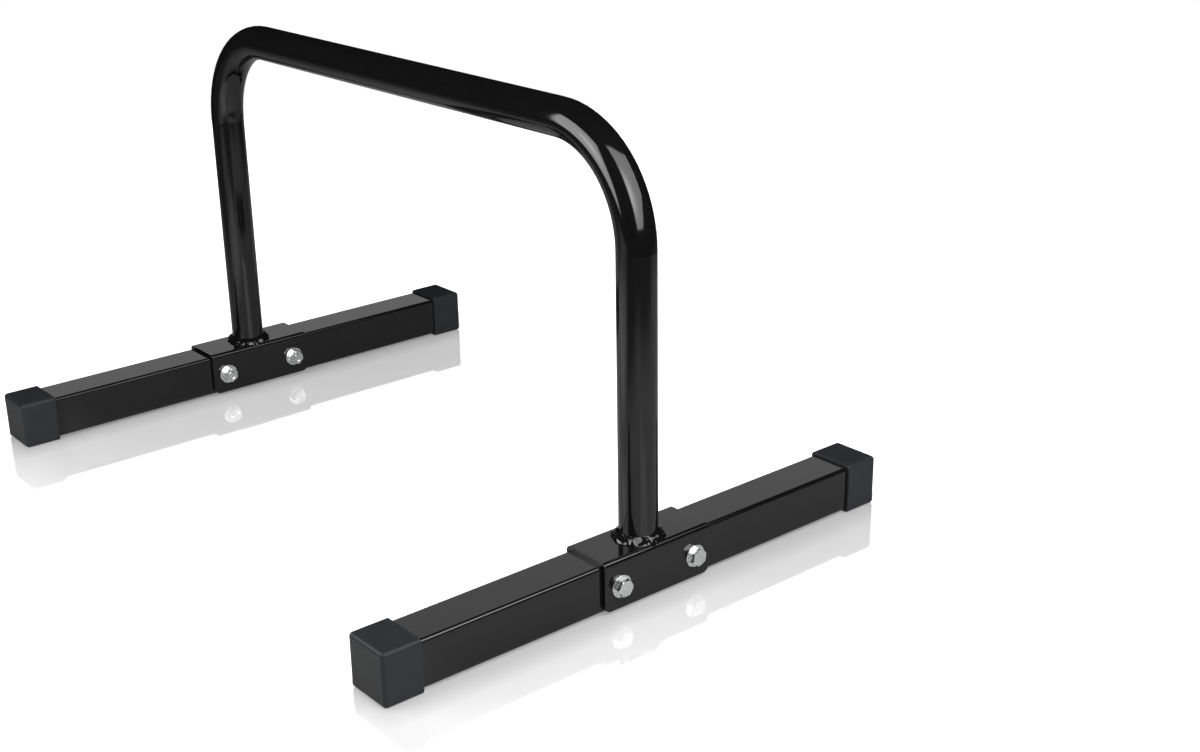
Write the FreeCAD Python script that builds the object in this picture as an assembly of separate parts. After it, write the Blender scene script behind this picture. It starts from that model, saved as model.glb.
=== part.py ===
"""Parallette bar: a bent steel handle welded to two saddle brackets, each bolted over a square-tube foot.

Millimetres. X runs along the grip, Y along the feet, Z is up. The origin is on the floor, midway between
the two feet. The front foot is at +X, and left is the end of a foot at -Y.
"""
import os

import FreeCAD
import Part

Vector = FreeCAD.Vector

# Handle: one round tube with two quarter bends
HANDLE_DIAMETER = 32.0
HANDLE_WALL = 2.0
HANDLE_BEND_RADIUS = 88.0
GRIP_HEIGHT = 368.0
UPRIGHT_SPACING = 625.0

# Feet: square tubes that lie across the two ends of the handle
FOOT_SIDE = 40.0
FOOT_WALL = 2.0
FOOT_CORNER_RADIUS = 3.0
FOOT_LENGTH = 508.0

# End caps: pushed over the ends of the feet, and all that touches the floor
CAP_WALL = 2.4
CAP_END_THICKNESS = 4.0
CAP_GRIP_DEPTH = 30.0
CAP_CLEARANCE = 0.1
CAP_EDGE_RADIUS = 3.5
CAP_MOUTH_RADIUS = 1.0

# Saddle brackets: plate folded over the foot
BRACKET_LENGTH = 110.0
BRACKET_THICKNESS = 3.0
BRACKET_SIDE_CLEARANCE = 0.6
BRACKET_FOLD_RADIUS = 1.0
BRACKET_CORNER_RADIUS = 6.0
BRACKET_EDGE_RADIUS = 0.5
BRACKET_FLOOR_GAP = 3.0

# Weld bead round the foot of each upright, wide enough to lap onto the bracket's folds
WELD_LEG = 6.0
WELD_CROWN = 0.6

# M8 fasteners: two bolts through each bracket
BOLT_DIAMETER = 8.0
BOLT_END_MARGIN = 16.0
BOLT_PROTRUSION = 0.4
BOLT_HOLE_CLEARANCE = 0.5
BOLT_TIP_CHAMFER = 0.8
THREAD_CLEARANCE = 0.05
HEX_FLATS = 13.0
HEX_CHAMFER = 0.8
HEAD_HEIGHT = 5.3
NUT_HEIGHT = 6.5
NUT_COUNTERSINK = 0.6
WASHER_DIAMETER = 19.0
WASHER_THICKNESS = 1.6
WASHER_BORE_CLEARANCE = 0.2
WASHER_EDGE_RADIUS = 0.3
HEAD_TURN = {"left": 0.0, "right": 22.0}
NUT_TURN = {"left": 30.0, "right": 18.0}

# Heights and widths that follow from the driving dimensions
CAP_SIDE = FOOT_SIDE + 2 * (CAP_CLEARANCE + CAP_WALL)
FOOT_MIDDLE = CAP_SIDE / 2
FOOT_TOP = FOOT_MIDDLE + FOOT_SIDE / 2
BRACKET_TOP = FOOT_TOP + BRACKET_THICKNESS
BRACKET_INNER_WIDTH = FOOT_SIDE + 2 * BRACKET_SIDE_CLEARANCE
BRACKET_WIDTH = BRACKET_INNER_WIDTH + 2 * BRACKET_THICKNESS
BEND_START = GRIP_HEIGHT - HANDLE_BEND_RADIUS
GRIP_HALF = UPRIGHT_SPACING / 2 - HANDLE_BEND_RADIUS
BOLT_OFFSET = BRACKET_LENGTH / 2 - BOLT_END_MARGIN
CLAMP_HALF = BRACKET_WIDTH / 2 + WASHER_THICKNESS

FEET = {"front": 1, "rear": -1}
ENDS = {"left": -1, "right": 1}
UP = Vector(0, 0, 1)
ALONG = Vector(1, 0, 0)
ACROSS = Vector(0, 1, 0)
NEAR = 0.001


def block(x, y, z):
    """A box from its (low, high) limits on each axis."""
    return Part.makeBox(x[1] - x[0], y[1] - y[0], z[1] - z[0], Vector(x[0], y[0], z[0]))


def edges_along(shape, direction):
    """The straight edges of a shape that run along a direction."""
    straight = [edge for edge in shape.Edges if isinstance(edge.Curve, Part.Line)]
    return [edge for edge in straight if abs(edge.Curve.Direction.dot(direction)) > 0.999]


def square_bar(side, corner_radius, y):
    """A square bar with rounded corners along Y, centred on the axis of a foot."""
    half = side / 2
    bar = block((-half, half), y, (FOOT_MIDDLE - half, FOOT_MIDDLE + half))
    return bar.makeFillet(corner_radius, edges_along(bar, ACROSS))


def bolt_holes(shape):
    """Drill the two bolt holes through a shape that is centred on a foot."""
    for side in ENDS.values():
        start = Vector(-BRACKET_WIDTH, side * BOLT_OFFSET, FOOT_MIDDLE)
        hole = Part.makeCylinder(BOLT_DIAMETER / 2 + BOLT_HOLE_CLEARANCE, 2 * BRACKET_WIDTH, start, ALONG)
        shape = shape.cut(hole)
    return shape


def ring_section(centre, normal):
    """The section of the handle tube at a point of its centre line."""
    outer = Part.Face(Part.Wire(Part.makeCircle(HANDLE_DIAMETER / 2, centre, normal)))
    bore = Part.Face(Part.Wire(Part.makeCircle(HANDLE_DIAMETER / 2 - HANDLE_WALL, centre, normal)))
    return outer.cut(bore)


def handle_tube():
    """Two uprights, two quarter bends and the grip, in one length of round tube."""
    grip_start = Vector(-GRIP_HALF, 0, GRIP_HEIGHT)
    tube = ring_section(grip_start, ALONG).extrude(ALONG * (2 * GRIP_HALF))
    for side in FEET.values():
        foot = Vector(side * UPRIGHT_SPACING / 2, 0, BRACKET_TOP)
        upright = ring_section(foot, UP).extrude(UP * (BEND_START - BRACKET_TOP))
        bend_foot = Vector(side * UPRIGHT_SPACING / 2, 0, BEND_START)
        bend_centre = Vector(side * GRIP_HALF, 0, BEND_START)
        bend = ring_section(bend_foot, UP).revolve(bend_centre, ACROSS * -side, 90)
        tube = tube.fuse([upright, bend])
    return tube.removeSplitter()


def foot_tube():
    """Square tube with both bolt holes drilled through its sides."""
    ends = (-FOOT_LENGTH / 2, FOOT_LENGTH / 2)
    bore_radius = max(FOOT_CORNER_RADIUS - FOOT_WALL, FOOT_WALL / 4)
    outer = square_bar(FOOT_SIDE, FOOT_CORNER_RADIUS, ends)
    bore = square_bar(FOOT_SIDE - 2 * FOOT_WALL, bore_radius, ends)
    return bolt_holes(outer.cut(bore))


def end_cap(end):
    """Moulded cap over one end of a foot: five walls with rounded outer edges, and a smaller radius at the mouth."""
    half = CAP_SIDE / 2
    seat = end * FOOT_LENGTH / 2
    mouth = seat - end * CAP_GRIP_DEPTH
    closed = seat + end * CAP_END_THICKNESS
    body = block((-half, half), sorted((mouth, closed)), (0, CAP_SIDE))
    rounded = [edge for edge in body.Edges if abs(edge.CenterOfMass.y - mouth) > CAP_EDGE_RADIUS]
    body = body.makeFillet(CAP_EDGE_RADIUS, rounded)
    rim = [edge for edge in body.Edges if abs(edge.BoundBox.YMin - mouth) + abs(edge.BoundBox.YMax - mouth) < NEAR]
    body = body.makeFillet(CAP_MOUTH_RADIUS, rim)
    pocket_side = FOOT_SIDE + 2 * CAP_CLEARANCE
    return body.cut(square_bar(pocket_side, FOOT_CORNER_RADIUS + CAP_CLEARANCE, sorted((mouth, seat))))


def on_plate_rim(edge):
    """Whether an edge of the bracket's outside lies on the cut rim of its plate, and not along a fold or corner."""
    box = edge.BoundBox
    low = edge.CenterOfMass.z < FOOT_MIDDLE
    at_end = abs(abs(edge.CenterOfMass.y) - BRACKET_LENGTH / 2) < NEAR
    at_flange = box.XLength < NEAR and abs(abs(box.XMin) - BRACKET_WIDTH / 2) < NEAR
    across_corner = low and box.XLength > NEAR
    return (at_end and not across_corner) or (at_flange and low)


def bracket():
    """Plate folded to an inverted U, with rounded folds, corners and outer edges, and four bolt holes."""
    half = BRACKET_WIDTH / 2
    inner_half = BRACKET_INNER_WIDTH / 2
    ends = (-BRACKET_LENGTH / 2, BRACKET_LENGTH / 2)
    outer = block((-half, half), ends, (BRACKET_FLOOR_GAP, BRACKET_TOP))
    corners = [edge for edge in edges_along(outer, ALONG) if edge.CenterOfMass.z < FOOT_MIDDLE]
    outer = outer.makeFillet(BRACKET_CORNER_RADIUS, corners)
    folds = [edge for edge in edges_along(outer, ACROSS) if edge.CenterOfMass.z > FOOT_MIDDLE]
    outer = outer.makeFillet(BRACKET_FOLD_RADIUS + BRACKET_THICKNESS, folds)
    outer = outer.makeFillet(BRACKET_EDGE_RADIUS, [edge for edge in outer.Edges if on_plate_rim(edge)])
    channel = block((-inner_half, inner_half), ends, (0, FOOT_TOP))
    inner_folds = [edge for edge in edges_along(channel, ACROSS) if edge.CenterOfMass.z > FOOT_MIDDLE]
    return bolt_holes(outer.cut(channel.makeFillet(BRACKET_FOLD_RADIUS, inner_folds)))


def weld_bead():
    """Slightly crowned fillet of weld metal between an upright and its bracket, cut to the bracket's own face."""
    inner = HANDLE_DIAMETER / 2
    skirt = BRACKET_TOP - BRACKET_THICKNESS / 2
    root = Vector(inner, 0, skirt)
    hem = Vector(inner + WELD_LEG, 0, skirt)
    toe = Vector(inner + WELD_LEG, 0, BRACKET_TOP)
    top = Vector(inner, 0, BRACKET_TOP + WELD_LEG)
    crown = (toe + top) * 0.5 + Vector(WELD_CROWN, 0, WELD_CROWN)
    sides = [Part.makeLine(top, root), Part.makeLine(root, hem), Part.makeLine(hem, toe)]
    outline = Part.Wire(sides + [Part.Arc(toe, crown, top).toShape()])
    return Part.Face(outline).revolve(Vector(), UP, 360).cut(bracket())


def hexagon(start, height, turn, chamfered):
    """Hexagonal prism along X from a distance on the bolt's axis, with its chosen ends chamfered."""
    corner = HEX_FLATS / 3 ** 0.5
    spoke = Vector(0, corner, 0)
    rim = [FreeCAD.Rotation(ALONG, turn + 60 * k).multVec(spoke) + ALONG * start for k in range(7)]
    prism = Part.Face(Part.makePolygon(rim)).extrude(ALONG * height)
    slope = 3 ** 0.5
    reach = height * slope
    if "outer" in chamfered:
        cone = Part.makeCone(corner - HEX_CHAMFER + reach, corner - HEX_CHAMFER, height, ALONG * start, ALONG)
        prism = prism.common(cone)
    if "inner" in chamfered:
        cone = Part.makeCone(corner - HEX_CHAMFER, corner - HEX_CHAMFER + reach, height, ALONG * start, ALONG)
        prism = prism.common(cone)
    return prism


def bolt(turn):
    """Hex bolt along X, with its head outside the bracket's outer face and its tip past the nut."""
    tip = -CLAMP_HALF - NUT_HEIGHT - BOLT_PROTRUSION
    shank = Part.makeCylinder(BOLT_DIAMETER / 2, CLAMP_HALF - tip, ALONG * tip, ALONG)
    tip_rim = [edge for edge in shank.Edges if abs(edge.CenterOfMass.x - tip) < BOLT_TIP_CHAMFER]
    tip_rim = [edge for edge in tip_rim if isinstance(edge.Curve, Part.Circle)]
    shank = shank.makeChamfer(BOLT_TIP_CHAMFER, tip_rim)
    head = hexagon(CLAMP_HALF, HEAD_HEIGHT, turn, ["outer"])
    return shank.fuse(head).removeSplitter()


def nut(turn):
    """Hex nut along X, bored a little over the bolt's thread, countersunk, and seated on the inner washer."""
    start = -CLAMP_HALF - NUT_HEIGHT
    body = hexagon(start, NUT_HEIGHT, turn, ["outer", "inner"])
    bore_radius = BOLT_DIAMETER / 2 + THREAD_CLEARANCE
    bore = Part.makeCylinder(bore_radius, NUT_HEIGHT, ALONG * start, ALONG)
    mouth_radius = bore_radius + NUT_COUNTERSINK
    sink = Part.makeCone(mouth_radius, bore_radius, NUT_COUNTERSINK, ALONG * start, ALONG)
    return body.cut(bore).cut(sink)


def washer(face):
    """Flat washer with soft edges, seated on the bracket's outer (+1) or inner (-1) face."""
    start = ALONG * (BRACKET_WIDTH / 2 if face > 0 else -CLAMP_HALF)
    disc = Part.makeCylinder(WASHER_DIAMETER / 2, WASHER_THICKNESS, start, ALONG)
    rims = [edge for edge in disc.Edges if isinstance(edge.Curve, Part.Circle)]
    disc = disc.makeFillet(WASHER_EDGE_RADIUS, rims)
    bore = Part.makeCylinder(BOLT_DIAMETER / 2 + WASHER_BORE_CLEARANCE, WASHER_THICKNESS, start, ALONG)
    return disc.cut(bore)


def at_foot(shape, foot):
    """Move a shape that is centred on the origin out to a foot, turned to face away from the other foot."""
    placed = shape.copy()
    if FEET[foot] < 0:
        placed.rotate(Vector(), UP, 180)
    placed.translate(ALONG * (FEET[foot] * UPRIGHT_SPACING / 2))
    return placed


def at_bolt(shape, foot, end):
    """Move a fastener that lies along X through the origin to one of a foot's two bolt holes."""
    lifted = shape.copy()
    lifted.translate(Vector(0, FEET[foot] * ENDS[end] * BOLT_OFFSET, FOOT_MIDDLE))
    return at_foot(lifted, foot)


pieces = {"handle_tube": handle_tube()}
for foot in FEET:
    pieces[foot + "_bracket"] = at_foot(bracket(), foot)
    pieces[foot + "_weld_bead"] = at_foot(weld_bead(), foot)
    pieces[foot + "_foot_tube"] = at_foot(foot_tube(), foot)
    for end in ENDS:
        place = foot + "_" + end
        pieces[place + "_end_cap"] = at_foot(end_cap(FEET[foot] * ENDS[end]), foot)
        pieces[place + "_bolt"] = at_bolt(bolt(HEAD_TURN[end]), foot, end)
        pieces[place + "_head_washer"] = at_bolt(washer(1), foot, end)
        pieces[place + "_nut_washer"] = at_bolt(washer(-1), foot, end)
        pieces[place + "_nut"] = at_bolt(nut(NUT_TURN[end]), foot, end)

os.makedirs("parts", exist_ok=True)
for node, shape in pieces.items():
    if shape.ShapeType == "Compound" and len(shape.Solids) == 1:
        shape = shape.Solids[0]
    shape.exportStep(os.path.join("parts", node + ".step"))
    print(node, len(shape.Solids), "solid", shape.isValid(), round(shape.Volume, 1), "mm3")
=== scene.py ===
import math

import bpy
from mathutils import Matrix, Vector, noise


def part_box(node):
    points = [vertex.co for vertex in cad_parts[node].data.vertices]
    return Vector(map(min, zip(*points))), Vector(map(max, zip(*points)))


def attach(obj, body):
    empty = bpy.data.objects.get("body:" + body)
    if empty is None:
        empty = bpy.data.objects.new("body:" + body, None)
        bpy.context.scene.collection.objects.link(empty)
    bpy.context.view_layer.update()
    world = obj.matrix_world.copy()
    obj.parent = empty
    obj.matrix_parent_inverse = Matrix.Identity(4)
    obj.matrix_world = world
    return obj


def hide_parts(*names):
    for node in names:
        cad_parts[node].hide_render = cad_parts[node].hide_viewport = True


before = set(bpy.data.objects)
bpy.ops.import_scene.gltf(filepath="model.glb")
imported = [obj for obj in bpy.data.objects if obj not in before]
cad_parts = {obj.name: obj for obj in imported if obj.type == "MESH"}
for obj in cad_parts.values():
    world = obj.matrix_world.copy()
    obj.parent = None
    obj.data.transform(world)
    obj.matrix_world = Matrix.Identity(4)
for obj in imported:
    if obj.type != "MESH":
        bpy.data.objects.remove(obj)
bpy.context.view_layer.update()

# Handle tube
# One length of round steel tube, cold bent to two quarter turns and welded to its brackets,
# then powder coated gloss black all over, with the faint orange peel of a baked coat.
COAT_BLACKS = ((0.0034, 0.0034, 0.0037, 1.0), (0.0062, 0.0062, 0.0060, 1.0))
COAT_CLOUDS = (26.0, 3.0)
COAT_HAZE = (60.0, 4.0)
COAT_ROUGHNESS = (0.045, 0.105)
COAT_IOR = 1.5
PEEL_GRAIN = (360.0, 1.5)
PEEL_STRENGTH = 0.35
PEEL_DEPTH = 0.00002


def shade(tree, kind, inputs=None, **settings):
    """Add a shader node, set its properties, and set or link its inputs."""
    made = tree.nodes.new(kind)
    for name, value in settings.items():
        setattr(made, name, value)
    for name, value in (inputs or {}).items():
        if isinstance(value, bpy.types.NodeSocket):
            tree.links.new(value, made.inputs[name])
        else:
            made.inputs[name].default_value = value
    return made


def new_finish(name):
    """An empty node material, its tree and a socket with the piece's own coordinates in metres."""
    finish = bpy.data.materials.new(name)
    finish.use_nodes = True
    tree = finish.node_tree
    tree.nodes.clear()
    place = shade(tree, "ShaderNodeTexCoord").outputs["Object"]
    return finish, tree, place


def clouds(tree, place, scale, detail):
    """Soft noise from 0 to 1, of a scale in clouds to the metre and a depth of detail."""
    made = shade(tree, "ShaderNodeTexNoise", {"Vector": place, "Scale": scale, "Detail": detail})
    return made.outputs["Fac"]


def between(tree, value, start, end, reach=1.0, curve="LINEAR"):
    """Turn a value that runs from 0 to a reach into one that runs from a start to an end."""
    made = shade(tree, "ShaderNodeMapRange", {
        "Value": value, "From Max": reach, "To Min": start, "To Max": end},
        interpolation_type=curve)
    return made.outputs["Result"]


def two_tones(tree, value, first, last):
    """A colour that runs from a first to a last one as a value goes from 0 to 1."""
    made = shade(tree, "ShaderNodeValToRGB", {"Fac": value})
    made.color_ramp.elements[0].color = first
    made.color_ramp.elements[1].color = last
    return made.outputs["Color"]


def relief(tree, value, strength, depth):
    """A normal that follows a value as bumps, of a strength and a depth in metres."""
    made = shade(tree, "ShaderNodeBump", {"Height": value, "Strength": strength, "Distance": depth})
    return made.outputs["Normal"]


def cover(tree, shader):
    """Make a shader the surface of its material."""
    shade(tree, "ShaderNodeOutputMaterial", {"Surface": shader})


def black_powder_coat():
    """Baked gloss black: two blacks in soft clouds, slightly uneven gloss, and orange peel."""
    finish, tree, place = new_finish("black_powder_coat")
    black = two_tones(tree, clouds(tree, place, *COAT_CLOUDS), *COAT_BLACKS)
    gloss = between(tree, clouds(tree, place, *COAT_HAZE), *COAT_ROUGHNESS)
    peel = relief(tree, clouds(tree, place, *PEEL_GRAIN), PEEL_STRENGTH, PEEL_DEPTH)
    coat = shade(tree, "ShaderNodeBsdfPrincipled", {
        "Base Color": black, "Roughness": gloss, "IOR": COAT_IOR, "Normal": peel})
    cover(tree, coat.outputs["BSDF"])
    return finish


def dress(node, finish):
    """Give a node of the frame one finish all over."""
    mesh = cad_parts[node].data
    mesh.materials.clear()
    mesh.materials.append(finish)


paint = black_powder_coat()
dress("handle_tube", paint)

# Saddle brackets
# Two lengths of steel plate, each folded to an inverted U over a foot and drilled for two bolts,
# welded under the ends of the handle and coated with it.
FEET = ("front", "rear")

for foot in FEET:
    dress(foot + "_bracket", paint)

# Weld beads
# Hand-laid fillet welds that run once round the foot of each upright, lumpy where the rod paused,
# and lap over the folded edges of the bracket. They are coated over, so each lump has a glint.
WELD_UP = 0.0054
WELD_OUT = 0.0064
WELD_BITE = 0.00015
WELD_ROOT = 0.0010
WELD_STEPS_ROUND = 320
WELD_STEPS_ACROSS = 40
WELD_MERGE = 0.00001
WELD_SEED_STEP = 14.1
WANDER = 0.0009
WANDER_PITCH = 2.6
WANDER_SHIFT = Vector((7, 0, 0))
RIPPLE = 0.0004
RIPPLES = 13
RIPPLE_SLANT = 0.3
RIPPLE_DRIFT = 0.9
RIPPLE_DRIFT_PITCH = 3.1
LUMP = 0.0011
LUMP_PITCH = 120
GRIT_SHARE = 0.2
GRIT_PITCH = 300
BULGE = 0.0002
BULGE_POWER = 0.7
FOLD_OUTSIDE = 0.004
FOLD_LAP = 0.0030
FOLD_LEAST_LEAN = 0.01


def weld_spot(way, share, seed, upright, flat):
    """A point of the weld's section, out from the upright's axis and up from the plate.

    The share goes over the face, from the toe at 0 to the crest at 1, and back behind it,
    by the root at 1.5 to the toe at 2.
    """
    circle = Vector((way.x, way.y, seed))
    leg_up = WELD_UP + WANDER * noise.noise(circle * WANDER_PITCH)
    leg_out = WELD_OUT + WANDER * noise.noise(circle * WANDER_PITCH + WANDER_SHIFT)
    leg_out = min(leg_out, (flat + FOLD_LAP) / max(abs(way.x), FOLD_LEAST_LEAN) - upright)
    lap = max(abs(way.x) * (upright + leg_out) - flat, 0)
    drop = FOLD_OUTSIDE - math.sqrt(FOLD_OUTSIDE ** 2 - lap ** 2)
    toe = Vector((upright + leg_out, -drop - WELD_BITE))
    crest = Vector((upright - WELD_BITE, leg_up))
    root = Vector((upright - WELD_ROOT, -WELD_ROOT))
    if share > 1.5:
        return root.lerp(toe, 2 * (share - 1.5))
    if share > 1:
        return crest.lerp(root, 2 * (share - 1))
    spot = toe.lerp(crest, share)
    pace = math.atan2(way.y, way.x) * RIPPLES / math.tau
    pace += RIPPLE_DRIFT * noise.noise(circle * RIPPLE_DRIFT_PITCH)
    ripple = RIPPLE * math.sin(math.pi * (pace + RIPPLE_SLANT * share)) ** 2
    place = way * spot.x + Vector((0, 0, spot.y + seed))
    grit = GRIT_SHARE * noise.noise(place * GRIT_PITCH)
    lump = LUMP * (noise.noise(place * LUMP_PITCH) + grit)
    swell = (BULGE + ripple + lump) * math.sin(math.pi * share) ** BULGE_POWER
    return spot + Vector((swell, swell))


def fillet_weld(foot, seed):
    """A ring of weld metal in the corner of upright and plate, uneven in its legs and face."""
    low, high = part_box(foot + "_bracket")
    axis = (low + high) / 2
    plate = high.z
    tube_low, tube_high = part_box("handle_tube")
    upright = (tube_high.y - tube_low.y) / 2
    flat = (high.x - low.x) / 2 - FOLD_OUTSIDE
    middle = upright + WELD_OUT / 2
    bpy.ops.object.select_all(action="DESELECT")
    bpy.ops.mesh.primitive_torus_add(
        location=(axis.x, axis.y, plate), major_radius=middle, minor_radius=WELD_OUT / 3,
        major_segments=WELD_STEPS_ROUND, minor_segments=WELD_STEPS_ACROSS)
    bead = bpy.context.object
    bead.name = foot + "_weld"
    bpy.ops.object.transform_apply(location=True)
    for vertex in bead.data.vertices:
        out = Vector((vertex.co.x - axis.x, vertex.co.y - axis.y, 0))
        way = out.normalized()
        section = math.atan2(vertex.co.z - plate, out.length - middle)
        share = ((section + math.pi / 4) % math.tau) / math.pi
        spot = weld_spot(way, share, seed, upright, flat)
        vertex.co = Vector((axis.x, axis.y, plate + spot.y)) + way * spot.x
    bpy.ops.object.mode_set(mode="EDIT")
    bpy.ops.mesh.select_all(action="SELECT")
    bpy.ops.mesh.remove_doubles(threshold=WELD_MERGE)
    bpy.ops.mesh.normals_make_consistent(inside=False)
    bpy.ops.object.mode_set(mode="OBJECT")
    bpy.ops.object.shade_smooth()
    bead.data.materials.append(paint)
    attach(bead, "frame")
    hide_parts(foot + "_weld_bead")


for number, foot in enumerate(FEET):
    fillet_weld(foot, WELD_SEED_STEP * number)

# Feet
# Two lengths of square steel tube, drilled through both sides for the bolts and coated like the
# handle. Each lies under its bracket, clamped by two bolts, and stands on the caps at its ends.

for foot in FEET:
    dress(foot + "_foot_tube", paint)

# End caps
# Four moulded caps of hard black rubber, fine-grained and matte, with rounded edges.
# Each is pushed over the end of a foot, is held there by its grip alone, and pulls off along it.
ENDS = ("left", "right")
RUBBER_GREYS = ((0.0196, 0.0204, 0.0223, 1.0), (0.0285, 0.0295, 0.0318, 1.0))
RUBBER_CLOUDS = (70.0, 5.0)
RUBBER_ROUGHNESS = (0.38, 0.48)
RUBBER_IOR = 1.5
RUBBER_SPECULAR = 0.24
GRAIN = (1500.0, 2.0)
GRAIN_STRENGTH = 0.5
GRAIN_DEPTH = 0.00010


def grained_rubber():
    """Dark grey moulded rubber: cloudy colour, a fine spark-eroded grain, and low sheen."""
    finish, tree, place = new_finish("grained_rubber")
    cloud = clouds(tree, place, *RUBBER_CLOUDS)
    grey = two_tones(tree, cloud, *RUBBER_GREYS)
    sheen = between(tree, cloud, *RUBBER_ROUGHNESS)
    grain = relief(tree, clouds(tree, place, *GRAIN), GRAIN_STRENGTH, GRAIN_DEPTH)
    body = shade(tree, "ShaderNodeBsdfPrincipled", {
        "Base Color": grey, "Roughness": sheen, "IOR": RUBBER_IOR,
        "Specular IOR Level": RUBBER_SPECULAR, "Normal": grain})
    cover(tree, body.outputs["BSDF"])
    return finish


rubber = grained_rubber()
for foot in FEET:
    for end in ENDS:
        dress(foot + "_" + end + "_end_cap", rubber)

# Bolts, washers and nuts
# Hex bolts of steel through bracket and foot, with a flat washer at each side and a plain nut on
# the inner side, all zinc plated: bright, a little frosted, with a cool and a warm cast in patches.
FASTENERS = ("bolt", "head_washer", "nut_washer", "nut")
ZINC_TONES = ((0.74, 0.76, 0.78, 1.0), (0.88, 0.88, 0.86, 1.0))
ZINC_PATCHES = (160.0, 4.0)
ZINC_FROST = (420.0, 5.0)
ZINC_ROUGHNESS = (0.19, 0.34)
DRAG_MARKS = (1300.0, 3.0)
DRAG_STRENGTH = 0.08
DRAG_DEPTH = 0.00004


def zinc_plating():
    """Bright zinc: cool and warm patches, frosted unevenly, with fine drag marks."""
    finish, tree, place = new_finish("zinc_plating")
    metal = two_tones(tree, clouds(tree, place, *ZINC_PATCHES), *ZINC_TONES)
    gloss = between(tree, clouds(tree, place, *ZINC_FROST), *ZINC_ROUGHNESS)
    drag = relief(tree, clouds(tree, place, *DRAG_MARKS), DRAG_STRENGTH, DRAG_DEPTH)
    plate = shade(tree, "ShaderNodeBsdfPrincipled", {
        "Base Color": metal, "Metallic": 1.0, "Roughness": gloss, "Normal": drag})
    cover(tree, plate.outputs["BSDF"])
    return finish


zinc = zinc_plating()
for foot in FEET:
    for end in ENDS:
        for piece in FASTENERS:
            dress(foot + "_" + end + "_" + piece, zinc)

# Table
# A polished white table top that the bar stands on, with pools of light painted in its colour:
# a broad one round the bar and a brighter one past the left ends of the feet, near black beyond.
# The camera sees it lifted to white by a painted glow, all but a strip before each foot, where
# its polish mirrors the foot and the lowered glow paints shade, most at the feet and the rear.
# A mirror sees the lamp-lit table with its painted pools, and a little of that glow.
TABLE_CENTRE = Vector((-0.10, 0.05, 0.0))
TABLE_RADIUS = 1.5
TABLE_STEPS = 160
# Pools of light painted into the table's colour, a broad one and a bright left one, and the near
# black painted beyond them.
PAINTED_POOL_CENTRE = Vector((-0.125, 0.235, 0.0))
PAINTED_POOL_HALF = Vector((0.825, 0.515, 0.0))
PAINTED_POOL_WHITE = 0.46
PAINTED_LEFT_POOL_CENTRE = Vector((-0.10, -0.75, 0.0))
PAINTED_LEFT_POOL_HALF = Vector((0.12, 0.35, 0.0))
PAINTED_LEFT_POOL_WHITE = 0.84
PAINTED_UNLIT_WHITE = 0.03
PAINTED_POOL_FADE = 0.35
LACQUER_FIBRE = (30.0, 2.0)
LACQUER_TONES = (0.97, 1.03)
LACQUER_ROUGHNESS = 0.04
LACQUER_IOR = 2.2
LACQUER_SPECULAR = (0.06, 0.8)
MIRRORED_LIFT = 0.05
NEAR_CORNER = Vector((0.9, -0.8, 0.0))
NEAR_REACH = 1.2
NEAR_LIFT = (0.57, 0.30)
PAINTED_CONTACT_REACH = 0.026
PAINTED_CONTACT_SHADE = (0.68, 1.15)
STRIPS = ((1, 0.055, 0.010), (-1, 0.089, 0.040))
STRIP_FADE = 0.015
WHITE = (1, 1, 1, 1)


def reckon(tree, operation, *values, **settings):
    """One step of arithmetic on numbers."""
    made = shade(tree, "ShaderNodeMath", dict(enumerate(values)), operation=operation, **settings)
    return made.outputs[0]


def reckon_places(tree, operation, *places):
    """One step of arithmetic on places, which gives a place, or a number for a length."""
    made = shade(tree, "ShaderNodeVectorMath", dict(enumerate(places)), operation=operation)
    return made.outputs["Value" if operation in ("LENGTH", "DISTANCE") else "Vector"]


def outside_box(tree, place, centre, half):
    """The distance of a place from a box, given by its centre and half its size, or 0 inside."""
    inward = reckon_places(tree, "SUBTRACT", place, centre)
    folded = reckon_places(tree, "ABSOLUTE", inward)
    beyond = reckon_places(tree, "SUBTRACT", folded, half)
    return reckon_places(tree, "LENGTH", reckon_places(tree, "MAXIMUM", beyond))


def table_lift(tree, place, painted_pool_reach):
    """How far a painted glow lifts the table to white: wholly, less in the strip before each foot.
    """
    cap_low, cap_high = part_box("front_left_end_cap")
    foot = Vector(((cap_high.x + cap_low.x) / 2, 0, 0))
    foot_half = Vector(((cap_high.x - cap_low.x) / 2, -cap_low.y, 0))
    strips = []
    for side, width, past in STRIPS:
        centre = foot * side + Vector((width / 2, 0, 0))
        half = foot_half + Vector((width / 2, past, 0))
        strips.append(outside_box(tree, place, centre, half))
    strip = reckon(tree, "MINIMUM", *strips)
    clear = between(tree, strip, 0.0, 1.0, STRIP_FADE, "SMOOTHSTEP")
    rim = between(tree, painted_pool_reach, 0.0, 1.0, PAINTED_POOL_FADE)
    whole = reckon(tree, "MAXIMUM", clear, rim)
    # In the strips the glow falls off away from the front left corner, as painted shade that
    # darkens the rear most.
    away = reckon_places(tree, "DISTANCE", place, NEAR_CORNER)
    near = between(tree, away, *NEAR_LIFT, NEAR_REACH)
    # Within the contact reach of a foot the glow is turned down further: a painted contact shadow.
    from_foot = outside_box(tree, reckon_places(tree, "ABSOLUTE", place), foot, foot_half)
    painted_contact_shade = between(tree, from_foot, *PAINTED_CONTACT_SHADE, PAINTED_CONTACT_REACH)
    return reckon(tree, "MAXIMUM", reckon(tree, "MULTIPLY", near, painted_contact_shade), whole)


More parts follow.
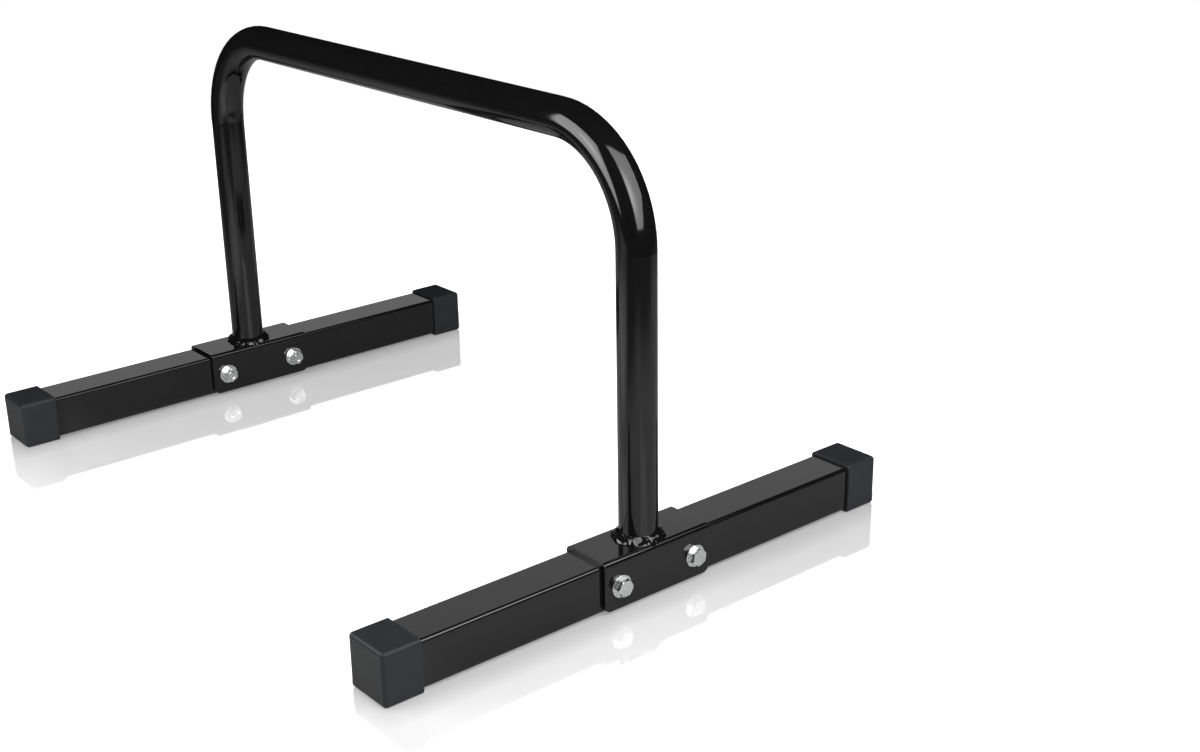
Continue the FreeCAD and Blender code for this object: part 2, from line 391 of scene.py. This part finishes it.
def table_white():
    """White lacquer, lamp-lit, with painted pools of light; glossier to the camera than to mirrors.
    """
    finish, tree, place = new_finish("table_white")
    painted_pool_reach = outside_box(tree, place, PAINTED_POOL_CENTRE, PAINTED_POOL_HALF)
    painted_left_pool_reach = outside_box(tree, place, PAINTED_LEFT_POOL_CENTRE, PAINTED_LEFT_POOL_HALF)
    # The base colour carries painted pools of light: bright round the bar and past the left ends of
    # the feet, near black beyond.
    lit = between(tree, painted_pool_reach, PAINTED_POOL_WHITE, PAINTED_UNLIT_WHITE, PAINTED_POOL_FADE, "SMOOTHSTEP")
    painted_left_pool = between(tree, painted_left_pool_reach, PAINTED_LEFT_POOL_WHITE, PAINTED_UNLIT_WHITE, PAINTED_POOL_FADE, "SMOOTHSTEP")
    tone = between(tree, clouds(tree, place, *LACQUER_FIBRE), *LACQUER_TONES)
    lacquer = reckon(tree, "MULTIPLY", reckon(tree, "MAXIMUM", lit, painted_left_pool), tone)
    path = shade(tree, "ShaderNodeLightPath")
    polish = between(tree, path.outputs["Is Camera Ray"], *LACQUER_SPECULAR)
    top = shade(tree, "ShaderNodeBsdfPrincipled", {
        "Base Color": lacquer, "Roughness": LACQUER_ROUGHNESS, "IOR": LACQUER_IOR,
        "Specular IOR Level": polish})
    mirrored = reckon(tree, "ADD", path.outputs["Is Glossy Ray"],
                      path.outputs["Is Transmission Ray"])
    # A painted glow lifts the table to white: wholly for the camera, a little for mirrors.
    seen = reckon(tree, "MULTIPLY_ADD", mirrored, MIRRORED_LIFT, path.outputs["Is Camera Ray"])
    glow = reckon(tree, "MULTIPLY", seen, table_lift(tree, place, painted_pool_reach))
    light = shade(tree, "ShaderNodeEmission", {"Color": WHITE, "Strength": glow})
    both = shade(tree, "ShaderNodeAddShader", {
        0: top.outputs["BSDF"], 1: light.outputs["Emission"]})
    cover(tree, both.outputs["Shader"])
    return finish


bpy.ops.object.select_all(action="DESELECT")
bpy.ops.mesh.primitive_circle_add(
    vertices=TABLE_STEPS, radius=TABLE_RADIUS, fill_type="NGON", location=TABLE_CENTRE)
table = bpy.context.object
table.name = "table"
bpy.ops.object.transform_apply(location=True)
table.data.materials.append(table_white())

# Room
# Black cloth hung all round the table, out of the camera's sight, so that the gloss stays black
# where no light is. Only the polish of the table, as the camera sees it, shows the room as white.
ROOM_RADIUS = 3.2
ROOM_STEPS_ROUND = 48
ROOM_STEPS_UP = 24
ROOM_WHITE = 1.4
FIRST_MIRRORING = 1.5
CLOTH_WEAVE = (8.0, 2.0)
CLOTH_BLACKS = (0.04, 0.06)
CLOTH_ROUGHNESS = 0.9


def room_cloth():
    """Matte black cloth, faintly uneven, with a white glow that only a first mirroring shows."""
    finish, tree, place = new_finish("room_cloth")
    tone = between(tree, clouds(tree, place, *CLOTH_WEAVE), *CLOTH_BLACKS)
    depth = shade(tree, "ShaderNodeLightPath").outputs["Ray Depth"]
    first = reckon(tree, "LESS_THAN", depth, FIRST_MIRRORING)
    glow = reckon(tree, "MULTIPLY", first, ROOM_WHITE)
    cloth = shade(tree, "ShaderNodeBsdfPrincipled", {
        "Base Color": tone, "Roughness": CLOTH_ROUGHNESS, "Emission Color": WHITE,
        "Emission Strength": glow})
    cover(tree, cloth.outputs["BSDF"])
    return finish


bpy.ops.object.select_all(action="DESELECT")
bpy.ops.mesh.primitive_uv_sphere_add(
    segments=ROOM_STEPS_ROUND, ring_count=ROOM_STEPS_UP, radius=ROOM_RADIUS)
room = bpy.context.object
room.name = "room"
room.visible_camera = False
room.visible_shadow = False
room.visible_diffuse = False
room.data.materials.append(room_cloth())
table_alone = bpy.data.collections.new("table_alone")
table_alone.objects.link(table)
room.light_linking.receiver_collection = table_alone

# Softboxes
# One softbox past the left ends of the feet, and a large one in front that leans overhead, each of
# white cloth with a brighter patch at its lamp. A low pale panel behind lights feet, brackets and
# table, one lamp draws the near top edges of the front foot, and one shows in the fasteners alone.
BEND = Vector((0.30, -0.01, 0.34))


def from_bend(azimuth, elevation):
    """The direction, from the front bend, of a place at an azimuth and elevation in degrees."""
    around = math.radians(azimuth)
    up = math.radians(elevation)
    level = math.cos(up)
    return Vector((level * math.cos(around), level * math.sin(around), math.sin(up)))


def front_cloth(name, lamp, core, spread, hot, plain, far):
    """Lit white cloth: hot in the core round its lamp, duller with distance, dark on its border."""
    finish, tree, place = new_finish(name)
    away = reckon_places(tree, "DISTANCE", place, lamp)
    fall = between(tree, away, plain, far, spread)
    patch = between(tree, away, hot - plain, 0.0, core, "SMOOTHERSTEP")
    inside = shade(tree, "ShaderNodeAttribute", attribute_name="inside").outputs["Fac"]
    glow = reckon(tree, "MULTIPLY", reckon(tree, "ADD", fall, patch), inside)
    light = shade(tree, "ShaderNodeEmission", {"Color": WHITE, "Strength": glow})
    cover(tree, light.outputs["Emission"])
    return finish


def softbox(name, axis, reach, corners, lamp, border, **cloth):
    """A flat light square to an axis from the bend, its corners and lamp given as directions."""
    bpy.ops.object.select_all(action="DESELECT")
    bpy.ops.mesh.primitive_circle_add(vertices=len(corners), radius=1.0, fill_type="NGON")
    box = bpy.context.object
    box.name = name
    places = []
    for ray in [from_bend(*corner) for corner in corners + [lamp]]:
        places.append(BEND + ray * (reach / ray.dot(axis)))
    lamp_place = places.pop()
    for vertex, place in zip(box.data.vertices, places):
        vertex.co = place
    bpy.ops.object.mode_set(mode="EDIT")
    bpy.ops.mesh.select_all(action="SELECT")
    bpy.ops.mesh.inset(thickness=border)
    bpy.ops.object.mode_set(mode="OBJECT")
    inside = box.data.attributes.new("inside", "FLOAT", "POINT")
    for vertex in box.data.vertices:
        off_rim = all((vertex.co - place).length > border / 2 for place in places)
        inside.data[vertex.index].value = float(off_rim)
    box.data.materials.append(front_cloth(name + "_cloth", lamp_place, **cloth))
    box.visible_camera = False
    box.visible_shadow = False


def panel(name, place, facing, width, height, radiance, lit):
    """A rectangular light of a given brightness, facing a direction, that lights a few objects."""
    lamp = bpy.data.lights.new(name, "AREA")
    lamp.shape = "RECTANGLE"
    lamp.size = width
    lamp.size_y = height
    lamp.energy = radiance * math.pi * width * height
    made = bpy.data.objects.new(name, lamp)
    bpy.context.collection.objects.link(made)
    turn = (-facing).to_track_quat("Z", "Y").to_matrix().to_4x4()
    made.matrix_world = Matrix.Translation(place) @ turn
    made.visible_camera = False
    group = bpy.data.collections.new(name + "_reach")
    for piece in lit:
        group.objects.link(piece)
    made.light_linking.receiver_collection = group


softbox("left_softbox", axis=from_bend(-110.0, 12.0), reach=0.80,
        corners=[(-141, -4), (-97, -7), (-97, 40), (-141, 32)], lamp=(-116, 16),
        border=0.05, core=0.22, spread=0.6, hot=8.8, plain=5.4, far=5.1)
right_axis = from_bend(-2.0, 40.0)
softbox("right_softbox", axis=right_axis, reach=0.98,
        corners=[(-27, 1), (6, 2), (18, 10), (33, 22), (63, 32), (61, 50), (38, 64), (20, 70),
                 (-52, 70), (-64, 65), (-47, 56), (-38, 40)], lamp=(-25, 30),
        border=0.06, core=0.56, spread=1.1, hot=8.7, plain=4.9, far=3.5)

front_foot = [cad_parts["front_foot_tube"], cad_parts["front_bracket"]]
rear_foot = [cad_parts["rear_foot_tube"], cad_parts["rear_bracket"]]
fasteners = [node for name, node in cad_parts.items() if name.endswith(FASTENERS)]
panel("pale_panel", place=Vector((-1.15, 0.95, 0.6)), facing=Vector((0.767, -0.642, 0.0)),
      width=2.6, height=1.2, radiance=0.6, lit=front_foot + rear_foot + [table])
panel("bolt_lamp", place=Vector((1.65, 1.20, 0.88)), facing=Vector((-0.80, -0.55, -0.25)),
      width=0.7, height=0.45, radiance=0.8, lit=fasteners)
panel("edge_lamp", place=Vector((0.90, 0.51, 0.877)), facing=-right_axis,
      width=0.40, height=0.34, radiance=3.5, lit=front_foot)

# Background
# A plain white beyond the table, as of a white wall far behind it, for the camera and for any
# mirror or glass from which the cloth of the room doesn't hide it. It gives no other light.
world = bpy.data.worlds.new("white_background")
bpy.context.scene.world = world
world.use_nodes = True
sky = world.node_tree
sky.nodes.clear()
path = shade(sky, "ShaderNodeLightPath")
seen = reckon(sky, "ADD", path.outputs["Is Camera Ray"], path.outputs["Is Glossy Ray"])
seen = reckon(sky, "ADD", seen, path.outputs["Is Transmission Ray"], use_clamp=True)
back = shade(sky, "ShaderNodeBackground", {"Color": WHITE, "Strength": seen})
shade(sky, "ShaderNodeOutputWorld", {"Surface": back.outputs["Background"]})
bpy.context.scene.view_settings.view_transform = "Standard"

# Camera
# A normal lens that looks down on the bar from the front left, from somewhat above the grip,
# and is turned a little about its own axis.
CAMERA_PLACE = Vector((1.228096, -0.802646, 0.647964))
CAMERA_AZIMUTH = math.radians(50.109)
CAMERA_ELEVATION = math.radians(20.995)
CAMERA_ROLL = math.radians(-0.861)
CAMERA_LENS = 50.94
CAMERA_SENSOR = 36.0
level_part = math.cos(CAMERA_ELEVATION)
backward = Vector((math.sin(CAMERA_AZIMUTH) * level_part, -math.cos(CAMERA_AZIMUTH) * level_part,
                   math.sin(CAMERA_ELEVATION)))
level = Vector((0, 0, 1)).cross(backward).normalized()
upward = backward.cross(level)
right = level * math.cos(CAMERA_ROLL) + upward * math.sin(CAMERA_ROLL)
top = upward * math.cos(CAMERA_ROLL) - level * math.sin(CAMERA_ROLL)
lens = bpy.data.cameras.new("camera")
lens.lens = CAMERA_LENS
lens.sensor_width = CAMERA_SENSOR
lens.sensor_fit = "HORIZONTAL"
camera = bpy.data.objects.new("camera", lens)
bpy.context.collection.objects.link(camera)
turn = Matrix((right, top, backward)).transposed().to_4x4()
camera.matrix_world = Matrix.Translation(CAMERA_PLACE) @ turn
bpy.context.scene.camera = camera
